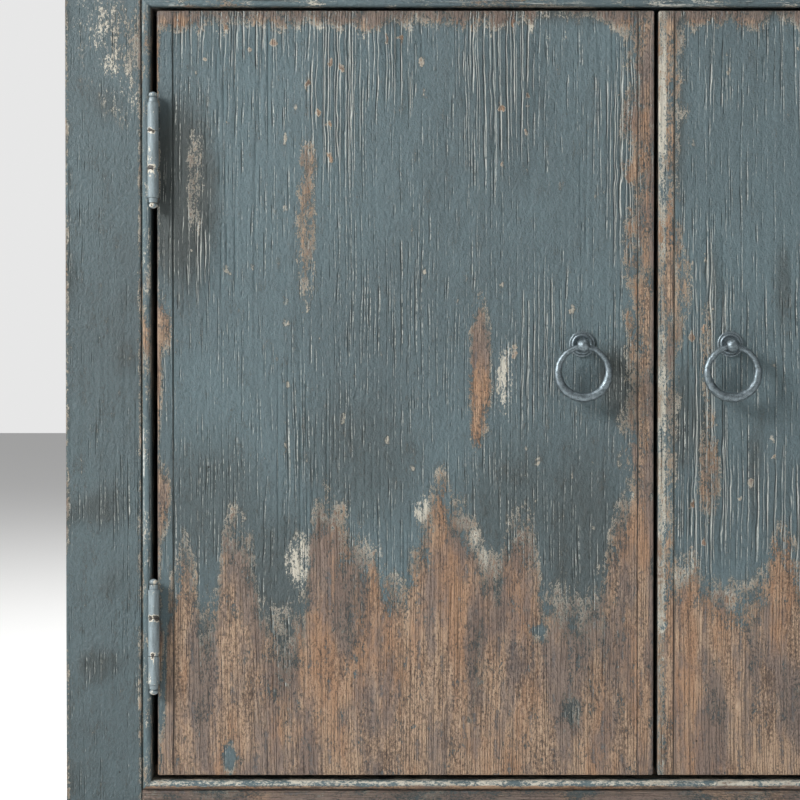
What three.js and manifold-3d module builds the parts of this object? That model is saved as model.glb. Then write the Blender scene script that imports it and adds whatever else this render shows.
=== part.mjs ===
// A long painted pine sideboard: two cupboards side by side, each closed by a pair of inset plank doors.
// Millimetres. +X runs to the right, -Y towards the front, +Z up. The origin is on the floor, under the middle of the top.
import * as THREE from 'three';
import { mergeVertices } from 'three/addons/utils/BufferGeometryUtils.js';
import Module from 'manifold-3d';

const wasm = await Module();
wasm.setup();

// ---- Driving dimensions ----
const touchGap = 0.3; // left between two pieces that touch

const doorWidth = 394;
const doorHeight = 607;
const doorThickness = 24; // the doors lie flush in the face frame, so this is its thickness too
const hingeGap = 4.8; // between a door and the bead on its hinge side; both hinge leaves lie in it
const meetingGap = 3.6; // between the two doors of a pair
const gapAboveDoor = 2.8;
const gapBelowDoor = 4;

const beadWidth = 8; // cock bead that lines each opening
const beadProud = 3; // how far its round nose stands in front of the frame
const quirkWidth = 0.8; // narrow groove between the bead's nose and the frame
const quirkDepth = 1;

const endStileWidth = 60;
const middleStileWidth = 110;
const topRailHeight = 60;
const railAboveBase = 35; // what shows of the bottom rail above the base boards

const topThickness = 32;
const topDepth = 470;
const topOverhang = 26; // in front and at both ends
const topBackOverhang = 5;

const panelThickness = 20; // sides, partition, floor and shelves
const housingDepth = 5; // grooves in which the floor and the shelves sit
const backThickness = 10;
const backRebate = 10; // how far the back reaches into each side
const caseFootHeight = 58; // the case ends this high above the floor and stands in the base
const doorStopHeight = 8; // the cupboard floor stands this far above the opening's lower edge and stops the doors
const shelfHeight = 320; // top of the shelf above the opening's lower edge
const shelfSetBack = 35; // behind the face frame

const baseHeight = 95;
const baseThickness = 18;
const baseCutHeight = 44; // height of the cut-out between the bracket feet
const frontFootWidth = 150;
const sideFootWidth = 105;
const bracketReach = 55; // length of the curve from a foot up to the apron
const bracketRise = 12; // straight part of a foot's inner edge, below the curve

const hingeHeight = 75; // over the three knuckles
const hingeFromDoorEnd = 111; // middle of a hinge from the top or bottom of the door
const middleKnuckle = 30;
const knuckleRadius = 4.4;
const boreRadius = 2.75;
const pinRadius = 2.3;
const knuckleGap = 0.4; // between knuckles, and from a knuckle to the other leaf or to the bead
const leafThickness = 1.8;
const leafDepth = 21; // how far a leaf reaches back from the door's face
const collarRadius = 3.5;
const collarHeight = 4;
const finialRadius = 3.3;
const finialHeight = 4.2;

const pullFromEdge = 57; // middle of a pull from the door's meeting edge
const pullFromTop = 264;
const rosetteRadius = 10.2;
const rosetteThickness = 2.6;
const neckRadius = 3.4;
const headRadius = 5.7;
const headStandOff = 13; // middle of the ball head in front of the rosette's back
const headDrop = 1.5; // the head sits this far below the rosette's middle
const eyeRadius = 3.3; // cross hole for the ring
const eyeDrop = 0.9; // the hole lies this far below the head's middle
const ringRadius = 20; // centre line of the ring
const ringThinRadius = 2.1; // its section in the eye
const ringThickRadius = 3.6; // its section at the bottom

const roundSides = 16;
const pinSides = 12;

// ---- Worked-out dimensions ----
const openingWidth = 2 * doorWidth + meetingGap + 2 * hingeGap;
const openingHeight = doorHeight + gapAboveDoor + gapBelowDoor;
const linedWidth = openingWidth + 2 * beadWidth; // opening with its bead
const caseWidth = 2 * endStileWidth + middleStileWidth + 2 * linedWidth;
const openingBottom = baseHeight + railAboveBase + beadWidth;
const openingTop = openingBottom + openingHeight;
const caseTop = openingTop + beadWidth + topRailHeight;
const faceY = -topDepth / 2 + topOverhang; // front of the face frame and of the doors
const frameBackY = faceY + doorThickness;
const innerFrontY = frameBackY + touchGap;
const caseBackY = topDepth / 2 - topBackOverhang;
const backFrontY = caseBackY - backThickness - touchGap; // bottom of the rebate that takes the back
const innerBackY = backFrontY - touchGap;
const sideInnerX = caseWidth / 2 - panelThickness;
const floorTop = openingBottom + doorStopHeight;
const shelfTop = openingBottom + shelfHeight;
const shelfFrontY = frameBackY + shelfSetBack;
const openingCentreX = (middleStileWidth + linedWidth) / 2;
const noseWidth = beadWidth - quirkWidth - touchGap;

// The hinge axis stands far enough in front of the face for the knuckles to clear the bead's nose.
const noseReach = Math.max(noseWidth / 2, beadProud);
const axisProud = Math.sqrt((knuckleRadius + noseReach + knuckleGap) ** 2 - ((hingeGap + noseWidth) / 2) ** 2);

// ---- Materials ----
const paint = new THREE.MeshStandardMaterial({ color: 0x6b797d, roughness: 0.6, metalness: 0 });
const wornPaint = new THREE.MeshStandardMaterial({ color: 0x8f8578, roughness: 0.65, metalness: 0 });
const insideWood = new THREE.MeshStandardMaterial({ color: 0x8a6a4a, roughness: 0.75, metalness: 0 });
const paintedIron = new THREE.MeshStandardMaterial({ color: 0x77868a, roughness: 0.5, metalness: 0.3 });
const pewter = new THREE.MeshStandardMaterial({ color: 0x70777a, roughness: 0.4, metalness: 0.8 });

// ---- Geometry helpers ----

// A closed geometry as a solid that can be joined and cut.
function solidOf(geometry) {
  const bare = new THREE.BufferGeometry().setAttribute('position', geometry.getAttribute('position'));
  if (geometry.index) bare.setIndex(geometry.index);
  const merged = mergeVertices(bare, 1e-4);
  return new wasm.Manifold(new wasm.Mesh({
    numProp: 3,
    vertProperties: merged.attributes.position.array,
    triVerts: new Uint32Array(merged.index.array),
  }));
}

function geometryOf(solid) {
  const mesh = solid.getMesh();
  const geometry = new THREE.BufferGeometry();
  geometry.setAttribute('position', new THREE.BufferAttribute(mesh.vertProperties, 3));
  geometry.setIndex(new THREE.BufferAttribute(mesh.triVerts, 1));
  geometry.computeVertexNormals();
  return geometry;
}

// A block between two opposite corners, given in any order.
function block([x0, y0, z0], [x1, y1, z1]) {
  const geometry = new THREE.BoxGeometry(Math.abs(x1 - x0), Math.abs(y1 - y0), Math.abs(z1 - z0));
  return geometry.translate((x0 + x1) / 2, (y0 + y1) / 2, (z0 + z1) / 2);
}

// Lengthens a piece that runs from 0 to its length along an axis. outwards gives how far each end vertex goes.
function mitreEnds(geometry, along, length, outwards) {
  const position = geometry.getAttribute('position');
  const point = new THREE.Vector3();
  for (let i = 0; i < position.count; i++) {
    point.fromBufferAttribute(position, i);
    const isFarEnd = point[along] > length / 2;
    point[along] += (isFarEnd ? 1 : -1) * outwards(point, isFarEnd);
    position.setXYZ(i, point.x, point.y, point.z);
  }
  return geometry;
}

const sideboard = new THREE.Group();

function add(name, geometry, material, x = 0, y = 0, z = 0) {
  const mesh = new THREE.Mesh(geometry, material);
  mesh.name = name;
  mesh.position.set(x, y, z);
  sideboard.add(mesh);
}

// ---- Case ----

function topBoard() {
  const halfWidth = caseWidth / 2 + topOverhang;
  return block([-halfWidth, -topDepth / 2, caseTop + touchGap], [halfWidth, topDepth / 2, caseTop + topThickness]);
}

// The groove for a board whose upper face is at `top`. It is cut into the face at x of a panel that lies
// on the `side` side of that face.
function housing(x, side, top, frontY) {
  return solidOf(block(
    [x - side, frontY - touchGap, top - panelThickness - touchGap],
    [x + side * (housingDepth + touchGap), innerBackY + touchGap / 2, top + touchGap],
  ));
}

function sidePanel(side) {
  const innerX = side * sideInnerX;
  const board = solidOf(block([side * caseWidth / 2, innerFrontY, caseFootHeight], [innerX, caseBackY, caseTop]));
  const rebate = solidOf(block(
    [innerX - side, backFrontY, caseFootHeight - 1],
    [innerX + side * backRebate, caseBackY + 1, caseTop + 1],
  ));
  return geometryOf(board
    .subtract(housing(innerX, side, floorTop, innerFrontY))
    .subtract(housing(innerX, side, shelfTop, shelfFrontY))
    .subtract(rebate));
}

function floorBoard() {
  const halfWidth = sideInnerX + housingDepth;
  return block([-halfWidth, innerFrontY + touchGap, floorTop - panelThickness], [halfWidth, innerBackY, floorTop]);
}

function partition() {
  const half = panelThickness / 2;
  const board = solidOf(block([-half, innerFrontY, floorTop + touchGap], [half, innerBackY, caseTop]));
  return geometryOf(board
    .subtract(housing(half, -1, shelfTop, shelfFrontY))
    .subtract(housing(-half, 1, shelfTop, shelfFrontY)));
}

function shelf(side) {
  const nearX = side * (panelThickness / 2 - housingDepth);
  const farX = side * (sideInnerX + housingDepth);
  return block([nearX, shelfFrontY, shelfTop - panelThickness], [farX, innerBackY, shelfTop]);
}

function backPanel() {
  const halfWidth = sideInnerX + backRebate - touchGap;
  return block([-halfWidth, backFrontY + touchGap, caseFootHeight], [halfWidth, caseBackY, caseTop]);
}

// ---- Face frame ----

function endStile(side) {
  const outerX = side * caseWidth / 2;
  return block([outerX, faceY, caseFootHeight], [outerX - side * endStileWidth, frameBackY, caseTop]);
}

// A rail runs from end stile to end stile.
function rail(bottom, top) {
  const halfWidth = caseWidth / 2 - endStileWidth - touchGap;
  return block([-halfWidth, faceY, bottom], [halfWidth, frameBackY, top]);
}

function middleStile() {
  const half = middleStileWidth / 2;
  return block(
    [-half, faceY, openingBottom - beadWidth + touchGap],
    [half, frameBackY, openingTop + beadWidth - touchGap],
  );
}

// Section of the bead: x runs outwards from the opening's edge, and y backwards from the frame's face.
function beadSection() {
  const section = new THREE.Shape();
  section.moveTo(0, doorThickness);
  section.lineTo(beadWidth - touchGap, doorThickness);
  section.lineTo(beadWidth - touchGap, quirkDepth);
  section.lineTo(noseWidth, quirkDepth);
  section.absellipse(noseWidth / 2, 0, noseWidth / 2, beadProud, 0, Math.PI, true);
  return section;
}

// The four mitred strips round one opening. Each is made as the right-hand one and turned into its place.
function addBeads(pair, centreX) {
  const strips = [
    ['right', openingHeight, openingWidth / 2, 0],
    ['top', openingWidth, openingHeight / 2, -Math.PI / 2],
    ['left', openingHeight, openingWidth / 2, Math.PI],
    ['bottom', openingWidth, openingHeight / 2, Math.PI / 2],
  ];
  for (const [place, length, distance, turn] of strips) {
    const strip = new THREE.ExtrudeGeometry(beadSection(), { depth: length, bevelEnabled: false, curveSegments: 5 });
    mitreEnds(strip, 'z', length, (point) => point.x - touchGap / 2);
    strip.translate(distance, 0, -length / 2).rotateY(turn);
    add(`bead_${pair}_${place}`, strip, wornPaint, centreX, faceY, (openingBottom + openingTop) / 2);
  }
}

// ---- Base ----

// A base board lying flat, its face up at z = baseThickness: two bracket feet and the apron between them.
// outwards mitres its ends.
function baseBoard(length, footWidth, outwards) {
  const outline = new THREE.Shape();
  outline.moveTo(0, 0);
  outline.lineTo(footWidth, 0);
  outline.lineTo(footWidth, bracketRise);
  outline.quadraticCurveTo(footWidth, baseCutHeight, footWidth + bracketReach, baseCutHeight);
  outline.lineTo(length - footWidth - bracketReach, baseCutHeight);
  outline.quadraticCurveTo(length - footWidth, baseCutHeight, length - footWidth, bracketRise);
  outline.lineTo(length - footWidth, 0);
  outline.lineTo(length, 0);
  outline.lineTo(length, baseHeight);
  outline.lineTo(0, baseHeight);
  const board = new THREE.ExtrudeGeometry(outline, { depth: baseThickness, bevelEnabled: false, curveSegments: 6 });
  return mitreEnds(board, 'x', length, outwards);
}

// The front board is mitred at both ends against the side boards.
function frontBase() {
  const length = caseWidth + 2 * touchGap;
  return baseBoard(length, frontFootWidth, (point) => point.z)
    .translate(-length / 2, 0, 0)
    .rotateX(Math.PI / 2);
}

// A side board is mitred at its front end only. The left board has its front end at the far end of its length.
function sideBase(side) {
  const mitreGap = touchGap * Math.SQRT2;
  const length = caseBackY - faceY + touchGap;
  const outwards = (point, isFarEnd) => (isFarEnd === (side < 0) ? point.z - mitreGap : 0);
  return baseBoard(length, sideFootWidth, outwards)
    .translate(side > 0 ? 0 : -length, 0, 0)
    .rotateX(Math.PI / 2)
    .rotateZ(side * Math.PI / 2);
}

// ---- Hinges ----

// One knuckle, a short tube about the hinge axis between two heights.
function knuckle(bottom, top) {
  const section = new THREE.Shape();
  section.absarc(0, 0, knuckleRadius, 0, 2 * Math.PI, false);
  const bore = new THREE.Path();
  bore.absarc(0, 0, boreRadius, 0, 2 * Math.PI, true);
  section.holes.push(bore);
  const tube = new THREE.ExtrudeGeometry(section, {
    depth: top - bottom,
    bevelEnabled: false,
    curveSegments: roundSides / 2,
  });
  return solidOf(tube.translate(0, 0, bottom));
}

// A leaf about the hinge axis, its plate reaching back. It lies on the `side` side of the axis, and spans are
// the bottoms and tops of its own knuckles.
function hingeLeaf(side, spans) {
  const farX = side * (hingeGap / 2 - touchGap);
  const nearX = farX - side * leafThickness;
  const plateY = knuckleRadius + knuckleGap;
  const wallY = (boreRadius + knuckleRadius) / 2;
  const halfHeight = hingeHeight / 2;
  let leaf = solidOf(block([nearX, plateY, -halfHeight], [farX, axisProud + leafDepth, halfHeight]));
  for (const [bottom, top] of spans) {
    leaf = leaf
      .add(solidOf(block([nearX, wallY, bottom], [farX, plateY + 1, top])))
      .add(knuckle(bottom, top));
  }
  return geometryOf(leaf);
}

// The pin, with a collar and a button finial at each end.
function hingePin() {
  const collarStart = hingeHeight / 2 + touchGap;
  const finialStart = collarStart + collarHeight;
  const upperHalf = [
    [pinRadius, collarStart],
    [collarRadius, collarStart],
    [collarRadius, finialStart],
    [finialRadius * 0.85, finialStart + finialHeight * 0.1],
    [finialRadius, finialStart + finialHeight * 0.3],
    [finialRadius, finialStart + finialHeight * 0.6],
    [finialRadius * 0.7, finialStart + finialHeight * 0.9],
    [0, finialStart + finialHeight],
  ];
  const lowerHalf = upperHalf.map(([r, z]) => [r, -z]).reverse();
  const profile = [...lowerHalf, ...upperHalf].map(([r, z]) => new THREE.Vector2(r, z));
  return new THREE.LatheGeometry(profile, pinSides).rotateX(Math.PI / 2);
}

// ---- Pulls ----

// A turned piece about -Y, with the start of its profile at y = 0.
function turnedForwards(profile) {
  const points = profile.map(([r, y]) => new THREE.Vector2(r, y));
  return solidOf(new THREE.LatheGeometry(points, roundSides).rotateX(Math.PI));
}

// Rosette, and a post with a ball head that is bored across for the ring. The origin is on the post's axis.
function pullMount() {
  const rimRadius = rosetteRadius - 2.4;
  const rosette = turnedForwards([
    [0, 0],
    [rosetteRadius, 0],
    [rosetteRadius, rosetteThickness * 0.4],
    [rosetteRadius - 0.8, rosetteThickness * 0.8],
    [rimRadius, rosetteThickness],
    [rimRadius - 0.8, rosetteThickness * 0.7],
    [0, rosetteThickness * 0.7],
  ]).translate([0, 0, headDrop]);

  const neckAngle = Math.asin(neckRadius / headRadius); // from the ball's rear pole to the neck
  const headSteps = 6;
  const post = [[0, 0.5], [neckRadius, 0.5]];
  for (let i = 0; i < headSteps; i++) {
    const angle = neckAngle + (Math.PI - neckAngle) * i / headSteps;
    post.push([headRadius * Math.sin(angle), headStandOff - headRadius * Math.cos(angle)]);
  }
  post.push([0, headStandOff + headRadius]);

  const eye = new THREE.CylinderGeometry(eyeRadius, eyeRadius, 4 * headRadius, roundSides)
    .rotateZ(Math.PI / 2)
    .translate(0, -headStandOff, -eyeDrop);
  return geometryOf(rosette.add(turnedForwards(post)).subtract(solidOf(eye)));
}

// The ring hangs from the middle of the eye, which is its origin. Its section grows towards the bottom.
function pullRing() {
  const meanRadius = (ringThinRadius + ringThickRadius) / 2;
  const ring = new THREE.TorusGeometry(ringRadius, meanRadius, 8, 24).rotateX(Math.PI / 2);
  const position = ring.getAttribute('position');
  const point = new THREE.Vector3();
  const core = new THREE.Vector3();
  for (let i = 0; i < position.count; i++) {
    point.fromBufferAttribute(position, i);
    core.set(point.x, 0, point.z).setLength(ringRadius);
    const lowness = (1 - core.z / ringRadius) / 2; // 0 at the top and 1 at the bottom
    const radius = THREE.MathUtils.lerp(ringThinRadius, ringThickRadius, lowness);
    point.sub(core).multiplyScalar(radius / meanRadius).add(core);
    position.setXYZ(i, point.x, point.y, point.z);
  }
  return ring.translate(0, 0, -ringRadius);
}

// ---- Doors ----

// One door with its two hinges and its pull. hingeSide is -1 where the hinges are on the left.
function addDoor(place, openingX, hingeSide) {
  const edgeX = openingX + hingeSide * (openingWidth / 2 - hingeGap);
  const meetingX = edgeX - hingeSide * doorWidth;
  const bottom = openingBottom + gapBelowDoor;
  const top = bottom + doorHeight;
  add(`door_${place}`, block([edgeX, faceY, bottom], [meetingX, frameBackY, top]), paint);

  const axis = [edgeX + hingeSide * hingeGap / 2, faceY - axisProud];
  const innerEnd = middleKnuckle / 2;
  const outerStart = innerEnd + knuckleGap;
  const outerEnd = hingeHeight / 2;
  for (const [level, z] of [['upper', top - hingeFromDoorEnd], ['lower', bottom + hingeFromDoorEnd]]) {
    const frameLeaf = hingeLeaf(hingeSide, [[outerStart, outerEnd], [-outerEnd, -outerStart]]);
    const doorLeaf = hingeLeaf(-hingeSide, [[-innerEnd, innerEnd]]);
    add(`hinge_${place}_${level}_frame_leaf`, frameLeaf, paintedIron, ...axis, z);
    add(`hinge_${place}_${level}_door_leaf`, doorLeaf, paintedIron, ...axis, z);
    add(`hinge_${place}_${level}_pin`, hingePin(), paintedIron, ...axis, z);
  }

  const pullX = meetingX + hingeSide * pullFromEdge;
  const headZ = top - pullFromTop - headDrop;
  add(`pull_${place}_mount`, pullMount(), pewter, pullX, faceY - touchGap, headZ);
  add(`pull_${place}_ring`, pullRing(), pewter, pullX, faceY - touchGap - headStandOff, headZ - eyeDrop);
}

// ---- Assembly ----

add('top_board', topBoard(), paint);
add('side_left', sidePanel(-1), paint);
add('side_right', sidePanel(1), paint);
add('cupboard_floor', floorBoard(), insideWood);
add('centre_partition', partition(), insideWood);
add('back_panel', backPanel(), insideWood);
add('shelf_left', shelf(-1), insideWood);
add('shelf_right', shelf(1), insideWood);

add('stile_left', endStile(-1), paint);
add('stile_right', endStile(1), paint);
add('stile_middle', middleStile(), paint);
add('rail_top', rail(openingTop + beadWidth, caseTop), paint);
add('rail_bottom', rail(caseFootHeight, openingBottom - beadWidth), paint);
addBeads('left', -openingCentreX);
addBeads('right', openingCentreX);

add('base_front', frontBase(), paint, 0, faceY - touchGap, 0);
add('base_left', sideBase(-1), paint, -caseWidth / 2 - touchGap, faceY - touchGap, 0);
add('base_right', sideBase(1), paint, caseWidth / 2 + touchGap, faceY - touchGap, 0);

addDoor('far_left', -openingCentreX, -1);
addDoor('mid_left', -openingCentreX, 1);
addDoor('mid_right', openingCentreX, -1);
addDoor('far_right', openingCentreX, 1);

export default sideboard;
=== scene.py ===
"""A long painted pine sideboard: the looks of its boards, beads, hinges and ring pulls, round its CAD frame.

Lengths are in metres. +X runs to the right, -Y towards the front and +Z up, as in the frame.
"""

import math

import bmesh
import bpy
from mathutils import Matrix, Vector, noise


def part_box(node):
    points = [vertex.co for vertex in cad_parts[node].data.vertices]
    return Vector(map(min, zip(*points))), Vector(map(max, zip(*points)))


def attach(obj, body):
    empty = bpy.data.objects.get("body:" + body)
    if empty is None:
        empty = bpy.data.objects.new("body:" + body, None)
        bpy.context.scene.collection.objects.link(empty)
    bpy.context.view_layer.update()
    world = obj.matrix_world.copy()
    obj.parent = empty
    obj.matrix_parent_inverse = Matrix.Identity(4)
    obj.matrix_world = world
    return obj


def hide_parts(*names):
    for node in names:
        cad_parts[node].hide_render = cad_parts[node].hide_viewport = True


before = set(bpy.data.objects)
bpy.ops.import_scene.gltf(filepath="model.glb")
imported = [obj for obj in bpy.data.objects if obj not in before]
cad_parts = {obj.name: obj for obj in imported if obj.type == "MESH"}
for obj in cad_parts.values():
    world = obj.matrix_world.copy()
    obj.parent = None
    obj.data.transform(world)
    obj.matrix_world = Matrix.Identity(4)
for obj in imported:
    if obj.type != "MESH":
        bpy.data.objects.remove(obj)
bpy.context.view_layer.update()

bl_info = {
    "name": "Painted pine sideboard",
    "version": (1, 0, 0),
    "blender": (4, 5, 0),
    "location": "View3D > Sidebar > Sideboard",
    "description": "Builds the boards, beads, hinges and ring pulls of a distressed sideboard",
    "category": "Object",
}

MM = 0.001
TOUCH = 0.001 * MM  # points closer than this are one point
WIDE = 30 * MM  # the edge of a board is narrower than this, and its faces are wider
DOORS = ("far_left", "mid_left", "mid_right", "far_right")
X, Y, Z = Vector((1, 0, 0)), Vector((0, 1, 0)), Vector((0, 0, 1))


# ---- Sizes and colours that a user would change ----


def colour_property(name, description, default):
    return bpy.props.FloatVectorProperty(
        name=name, description=description, default=default, subtype="COLOR", size=3, min=0, max=1
    )


def length_property(name, description, default):
    return bpy.props.FloatProperty(
        name=name, description=description, default=default, unit="LENGTH", min=0, precision=4
    )


class PaintSettings(bpy.types.PropertyGroup):
    paint: colour_property("Paint", "Blue-grey top coat", (0.084, 0.129, 0.143))
    paint_light: colour_property("Light paint", "Chalky places in the top coat", (0.140, 0.200, 0.217))
    paint_dark: colour_property("Dark paint", "Thin places in the top coat", (0.058, 0.086, 0.095))
    # Grimy paint, also used for painted shade in the grooves.
    paint_grime_and_shade: colour_property("Grimy paint", "Top coat under years of dirt", (0.026, 0.032, 0.029))
    primer: colour_property("Primer", "Cream undercoat under the rubbed top coat", (0.56, 0.52, 0.43))
    # Pale lips on the lit side of the grooves: rubbed paint and a painted highlight.
    lit_lip: colour_property("Groove lips", "Pale rubbed lips of the brushed grooves", (0.58, 0.60, 0.56))
    film: length_property("Paint film", "Thickness of the old coats of paint", 0.3 * MM)


class WoodSettings(bpy.types.PropertyGroup):
    tan: colour_property("Tan wood", "Pale early wood of worn pine", (0.41, 0.285, 0.19))
    pale: colour_property("Pale wood", "Fibres rubbed clean", (0.54, 0.415, 0.30))
    brown: colour_property("Brown wood", "Mid tone of worn pine", (0.175, 0.115, 0.078))
    # Also used for painted shade in the grooves of bare wood.
    umber: colour_property("Umber wood", "Dark late wood and dirt in the grain", (0.060, 0.042, 0.032))
    rust: colour_property("Rusty wood", "Orange places in the heart of the plank", (0.33, 0.178, 0.095))
    slate: colour_property("Slate wood", "Grey crumbs of old paint in the ditches", (0.135, 0.135, 0.140))
    grey: colour_property("Grey wood", "Weathered streaks", (0.150, 0.125, 0.118))
    arris: length_property("Arris", "Rounding of a board's worn edges", 1.2 * MM)
    grain_depth: length_property("Grain depth", "Relief of the brushed grain", 0.8 * MM)


class MetalSettings(bpy.types.PropertyGroup):
    painted: colour_property("Painted iron", "Paint brushed over the hinges", (0.165, 0.205, 0.220))
    iron: colour_property("Iron", "Old iron under the hinges' paint", (0.05, 0.045, 0.04))
    pewter: colour_property("Pewter", "Rubbed metal of the ring pulls", (0.235, 0.28, 0.305))
    pewter_dark: colour_property("Dark pewter", "Tarnish in the ring pulls' hollows", (0.10, 0.125, 0.135))


class StageSettings(bpy.types.PropertyGroup):
    floor: colour_property("Floor", "Plain pale floor", (0.82, 0.82, 0.81))
    view_distance: length_property("View distance", "Camera to the door's face", 1.633)
    view_width: length_property("View width", "Width seen at the door's face", 0.635)


def settings(group):
    return getattr(bpy.context.scene, "sideboard_" + group)


# ---- Shader nodes as expressions ----


class Socket:
    """A node's output on which arithmetic adds Math nodes."""

    def __init__(self, shader, output):
        self.shader = shader
        self.output = output

    def math(self, operation, *values):
        return self.shader.node("ShaderNodeMath", {"operation": operation}, dict(enumerate(values)))

    def __add__(self, other):
        return self.math("ADD", self, other)

    def __sub__(self, other):
        return self.math("SUBTRACT", self, other)

    def __rsub__(self, other):
        return self.math("SUBTRACT", other, self)

    def __mul__(self, other):
        return self.math("MULTIPLY", self, other)

    __radd__ = __add__
    __rmul__ = __mul__

    def __abs__(self):
        return self.math("ABSOLUTE", self)

    def ramp(self, low, high, start=0.0, end=1.0):
        """Goes smoothly from start to end as the value goes from low to high."""
        values = {"Value": self, "From Min": low, "From Max": high, "To Min": start, "To Max": end}
        return self.shader.node("ShaderNodeMapRange", {"interpolation_type": "SMOOTHSTEP"}, values)


class Shader:
    """The node tree of one material."""

    def __init__(self, name):
        self.material = bpy.data.materials.new(name)
        self.material.use_nodes = True
        self.tree = self.material.node_tree
        self.tree.nodes.clear()

    def node(self, kind, options=None, values=None, output=0):
        """A new node with its settings, the values or links of its inputs, and one output to go on from."""
        made = self.tree.nodes.new(kind)
        for key, value in (options or {}).items():
            setattr(made, key, value)
        for key, value in (values or {}).items():
            if isinstance(value, Socket):
                self.tree.links.new(value.output, made.inputs[key])
            else:
                made.inputs[key].default_value = value
        return Socket(self, made.outputs[output])

    def position(self):
        return self.node("ShaderNodeTexCoord", output="Object")

    def plank_position(self):
        """The place on the piece, moved differently for each plank, so that no two have the same grain."""
        plank = self.attribute("plank")
        away = self.node("ShaderNodeCombineXYZ", {}, {0: plank * 1.31, 1: plank * 0.77, 2: plank * 2.17})
        return self.vectors("ADD", self.position(), away)

    def attribute(self, name):
        return self.node("ShaderNodeAttribute", {"attribute_name": name}, output="Fac")

    def vectors(self, operation, first, second):
        return self.node("ShaderNodeVectorMath", {"operation": operation}, {0: first, 1: second})

    def noise(self, vector, scale, detail=2.0, roughness=0.5, distortion=0.0):
        """Fractal noise from 0 to 1. scale gives the features per metre along each axis."""
        values = {
            "Vector": self.vectors("MULTIPLY", vector, scale),
            "Scale": 1.0,
            "Detail": detail,
            "Roughness": roughness,
            "Distortion": distortion,
        }
        return self.node("ShaderNodeTexNoise", {"noise_dimensions": "3D"}, values, "Fac")

    def shaken(self, vector, distance, scale):
        """The place moved about by noise, so that outlines drawn from it are uneven."""
        scaled = self.vectors("MULTIPLY", vector, (scale, scale, scale))
        values = {"Vector": scaled, "Scale": 1.0, "Detail": 2.0}
        clouds = self.node("ShaderNodeTexNoise", {"noise_dimensions": "3D"}, values, "Color")
        away = self.vectors("SUBTRACT", clouds, (0.5, 0.5, 0.5))
        return self.vectors("ADD", vector, self.vectors("MULTIPLY", away, (distance, distance, distance)))

    def cells(self, vector, scale):
        """Distance from the middle of the nearest cell, and a random value for that cell."""
        values = {"Vector": self.vectors("MULTIPLY", vector, scale), "Scale": 1.0}
        made = self.node("ShaderNodeTexVoronoi", {}, values, "Distance")
        shade = Socket(self, made.output.node.outputs["Color"])
        return made, self.node("ShaderNodeSeparateColor", {}, {0: shade})

    def mix(self, factor, first, second):
        """Mixes two colours, each a socket or three numbers."""
        made = self.tree.nodes.new("ShaderNodeMix")
        made.data_type = "RGBA"
        sockets = {"Factor": 0, "A": 6, "B": 7}
        for key, value in (("Factor", factor), ("A", first), ("B", second)):
            target = made.inputs[sockets[key]]
            if isinstance(value, Socket):
                self.tree.links.new(value.output, target)
            elif key == "Factor":
                target.default_value = value
            else:
                target.default_value = (*value, 1.0)
        return Socket(self, made.outputs[2])

    def bump(self, height, filter_width=0.1):
        """A normal from a height in metres."""
        values = {"Height": height, "Distance": 1.0, "Filter Width": filter_width}
        return self.node("ShaderNodeBump", {}, values)

    def axes(self, vector, grain):
        """How far a point lies across the grain, and how far along it."""
        parts = self.node("ShaderNodeSeparateXYZ", {}, {0: vector}).output.node.outputs
        x, y, z = (Socket(self, parts[i]) for i in range(3))
        return {"X": (y + z, x), "Y": (x + z, y), "Z": (x + y, z)}[grain]

    def furrows(self, across, lengthways, spacing, seed, turns=20.0):
        """Lines along the grain, one to a strip: the distance to the line, and the line's strength."""
        strip_at = across * (1 / spacing)
        strip = strip_at.math("FLOOR", strip_at)
        off = self.node("ShaderNodeTexWhiteNoise", {"noise_dimensions": "1D"}, {"W": strip + seed}, "Value")
        along_line = self.node("ShaderNodeCombineXYZ", {}, {0: strip * 7.31 + seed, 1: lengthways})
        waver = self.noise(along_line, (1.0, 18.0, 1.0), detail=5, roughness=0.55)
        distance = (strip_at - strip - 0.12 - off * 0.76) * spacing + (waver - 0.5) * 0.0036
        strength = self.noise(along_line, (1.0, turns, 1.0), detail=4, roughness=0.68)
        return distance, strength

    def finish(self, colour, roughness, normal, **constants):
        values = {"Base Color": colour, "Roughness": roughness, "Normal": normal}
        surface = self.node("ShaderNodeBsdfPrincipled", {}, {**values, **constants})
        output = self.tree.nodes.new("ShaderNodeOutputMaterial")
        self.tree.links.new(surface.output, output.inputs["Surface"])
        return self.material


def along(grain, across, lengthways):
    """A scale with one value across the grain and another along it."""
    return tuple(lengthways if axis == grain else across for axis in "XYZ")


# ---- Materials ----


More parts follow.
